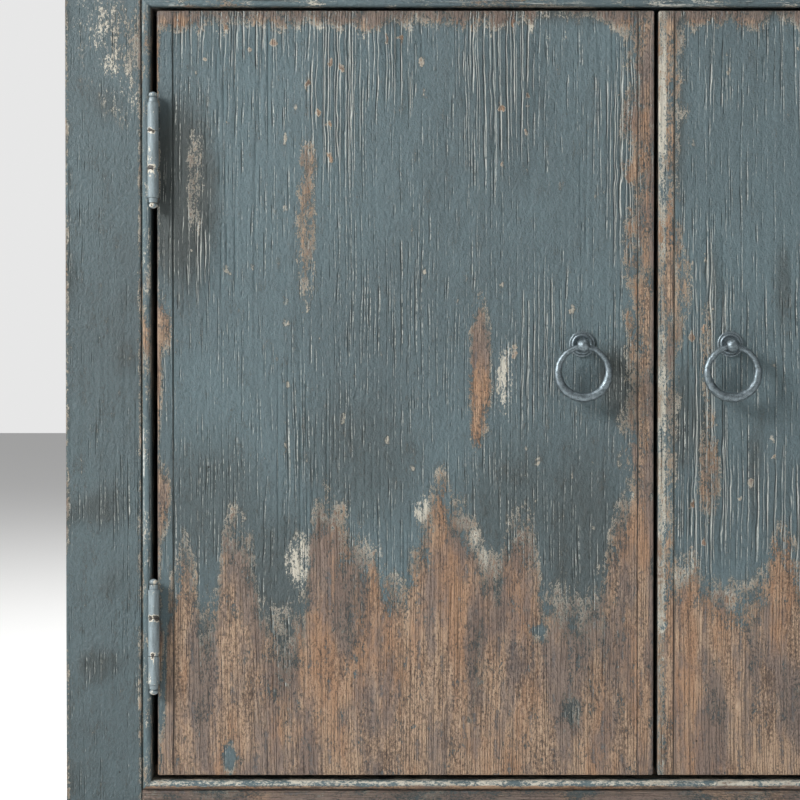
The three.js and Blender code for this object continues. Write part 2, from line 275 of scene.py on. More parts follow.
def wood_colour(shader, place, grain, stain_and_shade):
    """Worn pine: salmon and tan in soft flames, grey where it is stained and where shade is painted, and dark
    lines of late wood.
    """
    wood = settings("wood")
    across, lengthways = shader.axes(place, grain)
    sway = shader.noise(place, along(grain, 9, 3.5), detail=2)
    jog = shader.noise(place, along(grain, 70, 26), detail=2)
    across = across + sway * 0.012 + jog * 0.0011
    speck = shader.noise(place, along(grain, 820, 420), detail=3, roughness=0.75)
    fibres = shader.noise(place, along(grain, 420, 45), detail=5, roughness=0.75)
    flames = shader.noise(place, along(grain, 55, 14), detail=6, roughness=0.7)
    tone = fibres * 0.5 + speck * 1.1 + flames * 0.8
    colour = shader.mix(tone.ramp(1.05, 1.29), wood.brown, wood.tan)
    colour = shader.mix((fibres * 0.7 + speck * 0.3).ramp(0.52, 0.68, 0.0, 0.75), colour, wood.pale)
    rust = shader.noise(place, along(grain, 34, 9), detail=6, roughness=0.65)
    colour = shader.mix(rust.ramp(0.44, 0.62, 0.0, 0.65), colour, wood.rust)
    weathered = shader.noise(place, along(grain, 42, 12), detail=7, roughness=0.7)
    colour = shader.mix((weathered + stain_and_shade * 0.18).ramp(0.47, 0.63, 0.0, 0.70), colour, wood.grey)
    distance, strength = shader.furrows(across, lengthways, 2.3 * MM, 3.0)
    late = abs(distance).ramp(0.0, 0.6 * MM, 1.0, 0.0) * (strength + flames * 0.4).ramp(0.58, 0.74)
    distance, strength = shader.furrows(across, lengthways, 15 * MM, 47.0, 34.0)
    ditch = (abs(distance) + (speck - 0.5) * 0.006).ramp(0.2 * MM, 1.9 * MM, 1.0, 0.0)
    ditch = ditch * strength.ramp(0.51, 0.60)
    colour = shader.mix(ditch * speck.ramp(0.3, 0.6, 0.9, 0.5), colour, wood.slate)
    colour = shader.mix(late * 0.75 + tone.ramp(0.92, 1.14, 0.7, 0.0), colour, wood.umber)
    return colour, fibres, speck, late * 0.4 + ditch, (across, lengthways)


def distressed(name, grain):
    """Old blue-grey paint on wire-brushed pine, as the mesh says where it is bare, primed or split, and where
    it is grimy and where shade is painted.
    """
    paint = settings("paint")
    wood_set = settings("wood")
    shader = Shader(name)
    place = shader.plank_position()
    bare = shader.attribute("bare")
    primed = shader.attribute("primed")
    grime_and_shade = shader.attribute("grime_and_shade")
    split = shader.attribute("split")

    wood, fibres, speck, late, (across, lengthways) = wood_colour(shader, place, grain, grime_and_shade)
    stipple = shader.noise(place, (1250, 1250, 1250), detail=1)
    orange_peel = shader.noise(place, along(grain, 290, 210), detail=5, roughness=0.75)
    tear = shader.noise(place, along(grain, 80, 46), detail=8, roughness=0.75)
    strips = shader.noise(place, along(grain, 330, 26), detail=3, roughness=0.6)

    # Brushed-out grooves run along the grain, each with a raised lip on one side, the side facing the key
    # light; the lip's pale colour is rubbed paint and a painted highlight.
    region = shader.noise(place, along(grain, 16, 9), detail=4, roughness=0.6)
    busy = region * 0.50 + split * 0.15 + 0.15
    distance, strength = shader.furrows(across, lengthways, 6.1 * MM, 11.0)
    deep_run = (strength + busy).ramp(0.90, 1.06)
    deep = abs(distance).ramp(0.0, 0.8 * MM, 1.0, 0.0) * deep_run
    lit_lip = abs(distance - 0.85 * MM).ramp(0.0, 0.55 * MM, 1.0, 0.0) * deep_run
    distance, strength = shader.furrows(across, lengthways, 4.3 * MM, 29.0, 28.0)
    fine_run = (strength + busy).ramp(0.86, 1.04)
    fine = abs(distance).ramp(0.0, 0.7 * MM, 1.0, 0.0) * fine_run
    lit_lip = lit_lip + abs(distance - 0.7 * MM).ramp(0.0, 0.42 * MM, 0.8, 0.0) * fine_run

    # Flakes: stray chips in the paint, and crumbs of paint left on the wood.
    flake_reach, flake_pick = shader.cells(shader.shaken(place, 0.010, 140), along(grain, 110, 60))
    flake = flake_reach.ramp(0.10, 0.34, 1.0, 0.0)
    chips = flake * (flake_pick + split * 0.22).ramp(0.91, 0.92)
    crumbs = flake * flake_pick.ramp(0.16, 0.17, 1.0, 0.0)

    # Paint goes in ragged strips along the grain. worn passes 0.5 where the wood shows.
    ragged = (tear - 0.5) * 2.2 + (strips - 0.5) * 0.9 + (speck - 0.5) * 2.0
    worn = bare + ragged * bare.ramp(0.0, 0.25, 0.35, 1.0) + chips * (split * 0.75 + 0.24)
    worn = worn - crumbs * 0.35 - grime_and_shade * bare * 0.36
    bared = worn.ramp(0.26, 0.76)

    clouds = shader.noise(place, along(grain, 9, 6), detail=4, roughness=0.6)
    thickness = (clouds * 0.6 + speck * 0.6 + stipple * 0.3).ramp(0.56, 0.92)
    coat = shader.mix(thickness, paint.paint_dark, paint.paint)
    coat = shader.mix((strips * 0.6 + speck * 0.6).ramp(0.64, 0.92, 0.0, 0.6), coat, paint.paint_light)
    # Paint darkened near the worn places and by the grime layer, which also holds painted shade.
    foul_and_shade = grime_and_shade + worn.ramp(0.0, 0.32, 0.0, 0.9) * tear.ramp(0.38, 0.52)
    coat = shader.mix(foul_and_shade.ramp(0.0, 1.0, 0.0, 0.85), coat, paint.paint_grime_and_shade)

    # The primer shows in a broken rim where the paint ends and in its own patches; the lips of grooves are
    # pale, with rubbed paint and a painted highlight.
    rim = worn.ramp(0.16, 0.36) * (tear + speck * 0.5 + chips * 0.2).ramp(0.68, 0.84, 0.0, 0.65)
    patch = (primed + ragged * 1.8).ramp(0.40, 1.00, 0.0, 0.85) * primed.ramp(0.0, 0.2)
    # Painted highlight on the lit lips of the grooves, with pale rubbed paint.
    edge_light = lit_lip * (orange_peel + split * 0.20).ramp(0.40, 0.60, 0.0, 0.95)
    coat = shader.mix(rim.math("MAXIMUM", rim, patch), coat, paint.primer)
    coat = shader.mix(edge_light, coat, paint.lit_lip)
    # Painted shade: the grooves darkened with the grimy paint colour.
    coat = shader.mix(deep * 0.6 + fine * 0.2, coat, paint.paint_grime_and_shade)
    colour = shader.mix(bared, coat, wood)
    # Painted shade and grime in the grooves of bare wood.
    colour = shader.mix((deep * 0.5 + grime_and_shade * 0.22) * bared, colour, wood_set.umber)

    pits, which = shader.cells(place, along(grain, 42, 34))
    pit = pits.ramp(0.04, 0.12, 1.0, 0.0) * which.ramp(0.50, 0.52)
    # Worm holes, coloured near black: painted shade inside them.
    hole_distance, hole_choice = shader.cells(place, (21, 21, 21))
    hole = hole_distance.ramp(0.012, 0.020, 1.0, 0.0) * hole_choice.ramp(0.5, 0.52)
    hole_shade = (0.01, 0.008, 0.006)
    colour = shader.mix(hole, colour, hole_shade)

    # Metres of relief, less where the paint is gone.
    height = (
        fibres * (bared * 0.00075 + 0.00012)
        + strips * 0.00012
        + speck * (bared * 0.00125 + 0.00034)
        + stipple * 0.00008
        + orange_peel * 0.00165
        + tear * (split * 0.0040 + 0.0018)
        + lit_lip * 0.00040
        - deep * 0.00100
        - fine * 0.00065
        - late * bared * 0.00100
        - bared * paint.film
        - pit * 0.0006
        - hole * 0.0008
    )
    roughness = bared.ramp(0.0, 1.0, 0.46, 0.74) + (speck - 0.5) * 0.2
    return shader.finish(colour, roughness, shader.bump(height))


def inside_pine(name, grain):
    """Bare waxed pine of the cupboards' inside."""
    shader = Shader(name)
    place = shader.plank_position()
    wood, fibres, speck, late, _ = wood_colour(shader, place, grain, shader.attribute("grime_and_shade"))
    wax = (0.30, 0.195, 0.115)
    warm = shader.mix(0.5, wood, wax)
    height = fibres * 0.00008 + speck * 0.00003 - late * 0.00008
    return shader.finish(warm, fibres.ramp(0.2, 0.8, 0.62, 0.5), shader.bump(height))


def painted_iron():
    """Hinges brushed over with the paint, chipped to primer and old iron."""
    metal, paint = settings("metal"), settings("paint")
    shader = Shader("hinge_paint")
    place = shader.position()
    speck = shader.noise(place, (900, 900, 600), detail=3, roughness=0.7)
    brushed = shader.noise(place, (600, 600, 90), detail=3)
    clouds = shader.noise(place, (150, 150, 90), detail=4, roughness=0.65)
    dark, light = (tuple(c * share for c in metal.painted) for share in (0.75, 1.2))
    coat = shader.mix((brushed * 0.6 + speck * 0.4).ramp(0.36, 0.62), dark, light)
    worn = shader.attribute("bare") + (clouds - 0.5) * 1.3 + (speck - 0.5) * 0.8
    rim = worn.ramp(0.34, 0.40)
    chip = worn.ramp(0.52, 0.56)
    colour = shader.mix(rim, coat, paint.primer)
    colour = shader.mix(chip, colour, metal.iron)
    height = brushed * 0.00016 + speck * 0.00012 + clouds * 0.0002 - rim * 0.00008 - chip * 0.00014
    return shader.finish(colour, chip.ramp(0, 1, 0.40, 0.6), shader.bump(height))


def nail_iron():
    """Bare iron heads with a little rust."""
    metal = settings("metal")
    shader = Shader("nail_iron")
    place = shader.position()
    rust = shader.noise(place, (700, 700, 700), detail=3)
    rust_brown = (0.12, 0.055, 0.03)
    colour = shader.mix(rust.ramp(0.4, 0.65), metal.iron, rust_brown)
    return shader.finish(colour, rust.ramp(0.3, 0.7, 0.5, 0.8), shader.bump(rust * 0.0003), Metallic=0.6)


def pewter():
    """Dull antiqued metal, rubbed bright on what stands out."""
    metal = settings("metal")
    shader = Shader("ring_pewter")
    place = shader.position()
    clouds = shader.noise(place, (300, 300, 300), detail=5, roughness=0.7)
    speck = shader.noise(place, (1500, 1500, 1500), detail=2)
    tarnish = (clouds + (speck - 0.5) * 0.6).ramp(0.30, 0.66)
    colour = shader.mix(tarnish, metal.pewter_dark, metal.pewter)
    height = clouds * 0.00045 + speck * 0.00005
    return shader.finish(colour, clouds.ramp(0.3, 0.7, 0.56, 0.40), shader.bump(height), Metallic=1.0)


def plain_floor():
    stage = settings("stage")
    shader = Shader("pale_floor")
    place = shader.position()
    clouds = shader.noise(place, (1.5, 1.5, 1.5), detail=2)
    colour = shader.mix(clouds, tuple(c * 0.985 for c in stage.floor), tuple(stage.floor))
    speck = shader.noise(place, (300, 300, 300), detail=1)
    glow = {"Emission Color": (1, 1, 1, 1), "Emission Strength": 0.22}
    return shader.finish(colour, clouds.ramp(0, 1, 0.75, 0.85), shader.bump(speck * 0.00002), **glow)


LOOKS = {}


def material(name):
    """The material of that name, made when it is first asked for."""
    if name not in LOOKS:
        makers = {
            "hinge_paint": painted_iron,
            "nail_iron": nail_iron,
            "ring_pewter": pewter,
            "pale_floor": plain_floor,
        }
        if name in makers:
            LOOKS[name] = makers[name]()
        else:
            kind, grain = name.rsplit("_", 1)
            LOOKS[name] = {"bare_pine": inside_pine, "distressed": distressed}[kind](name, grain)
    return LOOKS[name]


# ---- Pieces ----


def finished(bm, name, look, body, slot, *nodes):
    """Turns a bmesh into a piece that rides on a body and stands for its CAD nodes."""
    mesh = bpy.data.meshes.new(name)
    bm.to_mesh(mesh)
    bm.free()
    mesh.shade_smooth()
    mesh.set_sharp_from_angle(angle=math.radians(38))
    mesh.materials.append(material(look))
    piece = bpy.data.objects.new(name, mesh)
    bpy.context.scene.collection.objects.link(piece)
    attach(piece, body)
    if nodes:
        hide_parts(*nodes)
    return piece


def cut_lengths(bm, direction, step):
    """Cuts the edges that run a long way in a direction into equal steps."""
    edges = []
    for edge in bm.edges:
        run = edge.verts[1].co - edge.verts[0].co
        if run.length > 1.5 * step and abs(run.dot(direction)) > 0.999 * run.length:
            edges.append(edge)
    if edges:
        longest = max(edge.calc_length() for edge in edges)
        bmesh.ops.subdivide_edges(bm, edges=edges, cuts=max(1, round(longest / step) - 1), use_grid_fill=True)


class Joints:
    """Lines along a board where its planks meet: their places across it, and their groove."""

    def __init__(self, places, half_width=0.8 * MM, depth=0.7 * MM):
        self.places = places
        self.half_width = half_width
        self.depth = depth

    def groove(self, across):
        """Depth of the groove, from 0 to 1, at a distance across the board."""
        nearest = min((abs(across - place) for place in self.places), default=1.0)
        return max(0.0, 1 - nearest / self.half_width)

    def plank(self, across):
        """The number of the plank at a distance across the board."""
        return sum(across > place for place in self.places)


def slice_at(bm, place, direction, cut_off=False):
    """Cuts the faces along a plane, and takes off what is beyond it if asked to."""
    geometry = bm.verts[:] + bm.edges[:] + bm.faces[:]
    bmesh.ops.bisect_plane(
        bm, geom=geometry, dist=TOUCH, plane_co=place, plane_no=direction, clear_outer=cut_off
    )


def moved(bm, place, turn=Matrix.Identity(4)):
    """Turns a bmesh about the origin and moves it to a place."""
    bmesh.ops.transform(bm, matrix=Matrix.Translation(place) @ turn, verts=bm.verts)
    return bm


def softened_block(low, high, arris):
    """A box with rounded arrises."""
    bm = bmesh.new()
    bmesh.ops.create_cube(bm, size=1.0)
    bmesh.ops.scale(bm, vec=high - low, verts=bm.verts)
    bmesh.ops.translate(bm, vec=(low + high) / 2, verts=bm.verts)
    bmesh.ops.bevel(
        bm, geom=bm.edges[:], offset=arris, segments=2, profile=0.5, affect="EDGES", material=-1
    )
    return bm


def sawn_board(low, high, grain, pitch, run, arris, joints=None):
    """A board with rounded arrises, netted finely across its grain and coarsely along it."""
    bm = softened_block(low, high, arris)
    size = high - low
    for axis, direction in zip("XYZ", (X, Y, Z)):
        if axis == grain:
            cut_lengths(bm, direction, run)
        elif size["XYZ".index(axis)] > WIDE:
            cut_lengths(bm, direction, pitch)
    if joints:
        direction = wide_direction(low, high, grain)
        for place in joints.places:
            for side in (-1, 0, 1):
                slice_at(bm, low + direction * (place + side * joints.half_width), direction)
    return bm


def wide_direction(low, high, grain):
    """The direction across a board's grain along its wide faces."""
    size = high - low
    thin = min(range(3), key=lambda i: size[i])
    return (X, Y, Z)[3 - "XYZ".index(grain) - thin]


def smooth(value, low, high):
    """0 below low, 1 above high, and smooth in between."""
    t = min(max((value - low) / (high - low), 0.0), 1.0)
    return t * t * (3 - 2 * t)


def rough(x, y, z):
    """Smooth noise from about -1 to 1."""
    return noise.noise(Vector((x, y, z)))


def grain_relief(across, lengthways, seed):
    """Depth of the brushed grain, from about 0 to 1.3."""
    wander = rough(across * 9, seed, lengthways * 3) * 0.004
    line = across + wander
    ridges = rough(line * 260, seed + 3, lengthways * 2.6)
    bands = rough(line * 70, seed + 7, lengthways * 1.3)
    split = abs(rough(line * 120, seed + 11, lengthways * 2.2))
    region = rough(across * 11, seed + 17, lengthways * 4)
    crack = smooth(region, -0.05, 0.25) * (1 - smooth(split, 0.0, 0.09))
    return 0.5 - 0.3 * ridges - 0.2 * bands + 0.9 * crack


WEAR_LAYERS = ("bare", "primed", "grime_and_shade", "split", "plank")


def wear_layers(bm, names=WEAR_LAYERS):
    """New vertex layers for how a piece is worn. The paint reads them as attributes."""
    return {name: bm.verts.layers.float.new(name) for name in names}


def weather(bm, low, high, grain, seed, depth, wear, joints=None):
    """Presses the grain into a board's faces and stores where it is bare, primed and split, and its grime and
    painted shade.

    wear takes a point and its distance to the nearest arris, and gives the first four layers' values.
    """
    layers = wear_layers(bm)
    joints = joints or Joints(())
    lengthways = "XYZ".index(grain)
    size = high - low
    thin = min(range(3), key=lambda i: size[i])
    wide = 3 - lengthways - thin
    for vert in bm.verts:
        co = vert.co
        gaps = sorted(min(co[i] - low[i], high[i] - co[i]) for i in range(3))
        bare, primed, grime_and_shade, split = wear(co, gaps[1])
        across = co[wide] - low[wide]
        plank = joints.plank(across) + seed
        groove = joints.groove(across)
        back_face = co[thin] > (low[thin] + high[thin]) / 2
        relief = grain_relief(co[wide], co[lengthways], plank * 7.7 + (5 if back_face else 0))
        if split > 0.05:
            tears = rough(co[wide] * 210, plank, co[lengthways] * 34)
            relief += 1.1 * min(split, 1.0) * smooth(abs(tears), 0.1, 0.5)
        flat = smooth(gaps[1], 0.5 * MM, 4 * MM)
        co[thin] += (-1 if back_face else 1) * (depth * relief + joints.depth * groove) * flat
        vert[layers["bare"]] = bare
        vert[layers["primed"]] = primed
        vert[layers["grime_and_shade"]] = max(grime_and_shade, 0.9 * groove)
        vert[layers["split"]] = split
        vert[layers["plank"]] = plank * 0.37


# ---- Doors ----

# Height to which the paint is worn off the first door, along its width from the hinge edge.
WORN_EDGE = (
    (0.000, 0.000), (0.004, 0.020), (0.010, 0.130), (0.022, 0.166), (0.030, 0.150), (0.034, 0.118),
    (0.047, 0.120), (0.053, 0.185), (0.064, 0.191), (0.075, 0.176), (0.083, 0.120), (0.100, 0.104),
    (0.115, 0.112), (0.123, 0.190), (0.131, 0.207), (0.142, 0.190), (0.160, 0.180), (0.172, 0.168),
    (0.178, 0.140), (0.195, 0.136), (0.206, 0.178), (0.226, 0.222), (0.236, 0.202), (0.250, 0.190),
    (0.262, 0.164), (0.271, 0.160), (0.278, 0.186), (0.289, 0.193), (0.299, 0.182), (0.306, 0.132),
    (0.340, 0.126), (0.352, 0.140), (0.366, 0.200), (0.394, 0.260),
)

# Places on the first door: from the hinge edge, above the bottom, half width, half height, strength.
BARE_PLACES = (
    (0.256, 0.322, 0.0085, 0.052, 1.0),
    (0.2535, 0.276, 0.0045, 0.018, 0.9),
    (0.004, 0.357, 0.007, 0.020, 0.8),
    (0.005, 0.220, 0.005, 0.026, 0.8),
    (0.120, 0.487, 0.007, 0.016, 0.55),
    (0.118, 0.440, 0.008, 0.060, 0.42),
    (0.030, 0.470, 0.007, 0.040, 0.38),
    (0.057, 0.012, 0.006, 0.014, -1.2),
    (0.303, 0.113, 0.007, 0.006, -0.9),
    (0.330, 0.050, 0.007, 0.010, -0.7),
)
PRIMED_PLACES = (
    (0.114, 0.170, 0.011, 0.019, 1.0),
    (0.165, 0.172, 0.011, 0.022, 0.8),
    (0.211, 0.211, 0.008, 0.010, 1.0),
    (0.251, 0.186, 0.006, 0.014, 1.0),
    (0.258, 0.170, 0.006, 0.014, 1.0),
    (0.298, 0.166, 0.006, 0.028, 0.95),
    (0.276, 0.316, 0.006, 0.026, 0.75),
    (0.374, 0.150, 0.006, 0.020, 0.7),
    (0.053, 0.130, 0.006, 0.030, 0.5),
)
SPLIT_PLACES = (
    (0.140, 0.548, 0.024, 0.080, 1.0),
    (0.187, 0.575, 0.022, 0.050, 0.9),
    (0.271, 0.555, 0.034, 0.075, 1.0),
    (0.370, 0.500, 0.022, 0.080, 0.9),
    (0.030, 0.420, 0.018, 0.040, 0.7),
    (0.060, 0.590, 0.060, 0.026, 0.7),
    (0.300, 0.340, 0.030, 0.060, 0.5),
)
# Darker places, laid out as above. The first two are painted shadows with some dirt, right of the upper hinge
# and right of and below the ring pull; the rest are dirt.
GRIME_AND_SHADOW_PLACES = (
    (0.018, 0.462, 0.030, 0.075, 1.0),
    (0.366, 0.314, 0.016, 0.030, 0.8),
    (0.100, 0.085, 0.014, 0.045, 0.9),
    (0.154, 0.128, 0.016, 0.034, 1.0),
    (0.253, 0.090, 0.010, 0.050, 0.9),
    (0.268, 0.140, 0.010, 0.040, 0.7),
    (0.328, 0.052, 0.010, 0.022, 1.0),
    (0.350, 0.090, 0.030, 0.060, 0.5),
    (0.035, 0.080, 0.010, 0.050, 0.7),
    (0.045, 0.215, 0.045, 0.060, 0.42),
    (0.095, 0.150, 0.035, 0.070, 0.50),
    (0.160, 0.250, 0.050, 0.060, 0.38),
    (0.285, 0.215, 0.045, 0.060, 0.45),
    (0.335, 0.190, 0.040, 0.080, 0.50),
)


LIPPING = 12.5 * MM  # width of the strip glued to each long edge of a door
DOOR_NET = (1.1 * MM, 6 * MM)  # mesh steps across and along the grain


def height_on(outline, across):
    """Height of an outline at a distance across it."""
    for (x0, y0), (x1, y1) in zip(outline, outline[1:]):
        if across <= x1:
            return y0 + (y1 - y0) * smooth(across, x0, x1)
    return outline[-1][1]


def place_strength(places, across, up):
    """The strongest of the places at a point, fading from each middle to its rim."""
    best = 0.0
    for u, v, half_width, half_height, strength in places:
        du, dv = (across - u) / half_width, (up - v) / half_height
        reach = du * du + dv * dv
        if reach < 2.2:
            value = strength * (1 - smooth(math.sqrt(reach), 0.35, 1.45))
            best = value if abs(value) > abs(best) else best
    return best


def door_wear(low, high, hinge_left, seed):
    """How a door is worn: bare at the bottom and at the meeting edge, thin at the top, ragged in places.
    Darker under the top edge, beside the first door's meeting edge and in listed places, with dirt and
    painted shade.
    """
    width = high.x - low.x
    height = high.z - low.z

    def wear(co, gap):
        across = co.x - low.x if hinge_left else high.x - co.x
        up = co.z - low.z
        front = co.y < low.y + 6 * MM
        ragged = rough(co.x * 30, seed, co.z * 14)
        torn = rough(co.x * 90, seed + 30, co.z * 60)
        if not front:
            return max(0.0, 0.35 + 0.5 * ragged - gap / 0.05), 0.0, 0.2, 0.0
        if seed == 0:
            edge = height_on(WORN_EDGE, across)
        else:
            wave = rough(across * 13, seed, 0)
            edge = 0.15 + 0.09 * wave + 0.05 * rough(across * 42, seed, 1)
        bare = 0.5 + (edge - up + 0.014 * ragged) / 0.065
        from_meeting = width - across
        meeting = 0.95 + 0.45 * ragged + 0.3 * torn - from_meeting / 0.027
        from_top = height - up
        top = 1.15 + 0.8 * ragged + 0.6 * torn - from_top / 0.012
        hinge = 0.55 + 0.8 * ragged - across / 0.005
        bare = min(max(bare, meeting, top, hinge, 0.0), 1.0)
        # Dirt and painted shade: darker within a few millimetres of the first door's meeting edge and under
        # the top edge, beside the gaps.
        dirt_and_shade = 0.12 + 0.9 * (1 - smooth(from_meeting, 1 * MM, 5 * MM)) if seed == 0 else 0.0
        dirt_and_shade += 0.95 * (1 - smooth(from_top, 1 * MM, 11 * MM))
        specks = smooth(torn, 0.1, 0.4) * (1 - smooth(min(from_meeting, from_top), 12 * MM, 24 * MM))
        if seed == 0:
            bare = min(max(bare + place_strength(BARE_PLACES, across, up), 0.0), 1.0)
            dirt_and_shade = min(1.0, dirt_and_shade + place_strength(GRIME_AND_SHADOW_PLACES, across, up))
            split = place_strength(SPLIT_PLACES, across, up) + 0.2 * ragged
            return bare, max(place_strength(PRIMED_PLACES, across, up), specks), dirt_and_shade, split
        streak = rough(across * 55, seed + 2, up * 9)
        patches = rough(across * 24, seed + 4, up * 7)
        rim = smooth(bare, 0.1, 0.4) * (1 - smooth(bare, 0.5, 0.9))
        bare = min(bare + 0.7 * smooth(patches, 0.50, 0.75), 1.0)
        dirt_and_shade = min(1.0, dirt_and_shade + smooth(-streak, 0.1, 0.6) * 0.6)
        edge = 1 - smooth(from_meeting, 4 * MM, 9 * MM)
        bare -= 0.45 * edge
        return bare, max(rim * smooth(streak, 0.15, 0.5), edge), dirt_and_shade, smooth(patches, 0.1, 0.5) * 0.8
    return wear


class SIDEBOARD_OT_doors(bpy.types.Operator):
    """Makes the four plank doors"""

    bl_idname = "sideboard.doors"
    bl_label = "Doors"

    def execute(self, context):
        wood = settings("wood")
        for seed, place in enumerate(DOORS):
            node = "door_" + place
            low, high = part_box(node)
            joints = Joints((LIPPING, high.x - low.x - LIPPING))
            bm = sawn_board(low, high, "Z", *DOOR_NET, wood.arris, joints)
            wear = door_wear(low, high, place in ("far_left", "mid_right"), seed)
            weather(bm, low, high, "Z", seed * 20, wood.grain_depth, wear, joints)
            finished(bm, "door_face_" + place, "distressed_Z", node, "distressed_paint", node)
        return {"FINISHED"}


# ---- Case and face frame ----


def frame_wear(seed, amount, reach):
    """Wear of a painted board: arrises rubbed as far in as the reach, and ragged patches here and there."""
    def wear(co, gap):
        patches = rough(co.x * 5, co.y * 5 + seed, co.z * 5)
        ragged = rough(co.x * 24, co.y * 24 + seed, co.z * 24)
        bare = amount * (1 - smooth(gap, 0.0, reach)) * (0.9 + 0.9 * ragged)
        bare = min(max(bare + 0.8 * smooth(patches, 0.42, 0.75), 0.0), 1.0)
        primed = 0.3 * smooth(patches, 0.3, 0.5)
        grime_and_shade = 0.4 * smooth(ragged, 0.1, 0.7) + (0.62 if amount > 0.9 else 0.36)
        return bare, primed, grime_and_shade, 0.5 * smooth(ragged, 0.1, 0.6) - 0.4
    return wear


class SIDEBOARD_OT_case(bpy.types.Operator):
    """Makes the top, the sides and the face frame"""

    bl_idname = "sideboard.case"
    bl_label = "Case and face frame"

    def execute(self, context):
        wood = settings("wood")
        # Grain, mesh steps across and along it, arris, strength and reach of the wear, and number of planks.
        boards = (
            ("top_board", "X", 2.0, 11, 3.5, 0.55, 14, 4),
            ("side_left", "Z", 2.0, 10, 1.2, 0.5, 10, 3),
            ("side_right", "Z", 2.0, 10, 1.2, 0.5, 10, 3),
            ("stile_left", "Z", 1.2, 8, 1.2, 0.36, 4, 1),
            ("stile_right", "Z", 1.2, 8, 1.2, 0.36, 4, 1),
            ("stile_middle", "Z", 1.2, 8, 0.8, 0.4, 4, 1),
            ("rail_top", "X", 1.5, 10, 0.8, 0.4, 4, 1),
            ("rail_bottom", "X", 1.2, 8, 0.8, 0.95, 60, 1),
        )
        for seed, (node, grain, pitch, run, arris, amount, reach, planks) in enumerate(boards):
            low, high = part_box(node)
            width = (high - low).dot(wide_direction(low, high, grain))
            joints = Joints([width * i / planks for i in range(1, planks)])
            bm = sawn_board(low, high, grain, pitch * MM, run * MM, arris * MM, joints)
            wear = frame_wear(100 + seed * 3.7, amount, reach * MM)
            weather(bm, low, high, grain, 200 + seed * 20, wood.grain_depth * 0.5, wear, joints)
            finished(bm, node + "_board", "distressed_" + grain, "root", "distressed_paint", node)
        return {"FINISHED"}


BASE_NET = (14 * MM, 7 * MM)  # mesh steps along and up the base


class SIDEBOARD_OT_base(bpy.types.Operator):
    """Makes the bracket base"""

    bl_idname = "sideboard.base"
    bl_label = "Bracket base"

    def execute(self, context):
        boards = (("base_front", "X", X), ("base_left", "Y", Y), ("base_right", "Y", Y))
        for seed, (node, grain, lengthways) in enumerate(boards):
            low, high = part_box(node)
            bm = bmesh.new()
            bm.from_mesh(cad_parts[node].data)
            bmesh.ops.remove_doubles(bm, verts=bm.verts[:], dist=TOUCH)
            bmesh.ops.dissolve_limit(bm, angle_limit=math.radians(1), verts=bm.verts[:], edges=bm.edges[:])
            sharp = [edge for edge in bm.edges if edge.calc_face_angle(0) > math.radians(40)]
            bmesh.ops.bevel(
                bm, geom=sharp, offset=1.2 * MM, segments=2, profile=0.5, affect="EDGES", material=-1,
                clamp_overlap=True,
            )
            for direction, step in zip((lengthways, Z), BASE_NET):
                for i in range(1, round((high - low).dot(direction) / step)):
                    slice_at(bm, low + direction * i * step, direction)
            bmesh.ops.triangulate(bm, faces=[face for face in bm.faces if len(face.verts) > 4])
            layers = wear_layers(bm)
            wear = frame_wear(340 + seed * 9.1, 0.6, 6 * MM)
            for vert in bm.verts:
                rise = vert.co.z - low.z
                values = (*wear(vert.co, min(rise, high.z - vert.co.z)), 0.0)
                for layer, value in zip(layers.values(), values):
                    vert[layer] = value
                scuffed = 1 - smooth(rise, 0.0, 45 * MM)
                scuffs = 0.55 * scuffed * (0.6 + noise.noise(vert.co * 30))
                vert[layers["bare"]] = min(1.0, values[0] + scuffs)
                vert[layers["grime_and_shade"]] = max(values[2], 0.8 * scuffed)
                vert[layers["plank"]] = 4.1 + seed
            finished(bm, node + "_board", "distressed_" + grain, "root", "distressed_paint", node)
        return {"FINISHED"}


def clean_inside(co, gap):
    """Bare wood all over, a little darker towards the edges of the board."""
    return 1.0, 0.0, 0.5 - 0.4 * smooth(gap, 0, 12 * MM), 0.0


class SIDEBOARD_OT_inside(bpy.types.Operator):
    """Makes the cupboards' floor, partition and shelves, each up to the face that it is housed in"""

    bl_idname = "sideboard.inside"
    bl_label = "Inside boards"

    def execute(self, context):
        left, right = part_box("side_left")[1].x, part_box("side_right")[0].x
        partition_low, partition_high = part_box("centre_partition")
        spans = {
            "cupboard_floor": ("X", left, right),
            "centre_partition": ("Z", partition_low.x, partition_high.x),
            "shelf_left": ("X", left, partition_low.x),
            "shelf_right": ("X", partition_high.x, right),
        }
        for seed, (node, (grain, start, end)) in enumerate(spans.items()):
            low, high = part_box(node)
            low.x, high.x = start, end
            size = high - low
            width = sorted(size)[1]
            joints = Joints([width * i / 3 for i in (1, 2)], half_width=0.6 * MM, depth=0.5 * MM)
            bm = sawn_board(low, high, grain, 4 * MM, 20 * MM, 0.8 * MM, joints)
            weather(bm, low, high, grain, 500 + seed * 20, 0.15 * MM, clean_inside, joints)
            finished(bm, node + "_board", "bare_pine_" + grain, "root", "inside_wood", node)
        return {"FINISHED"}


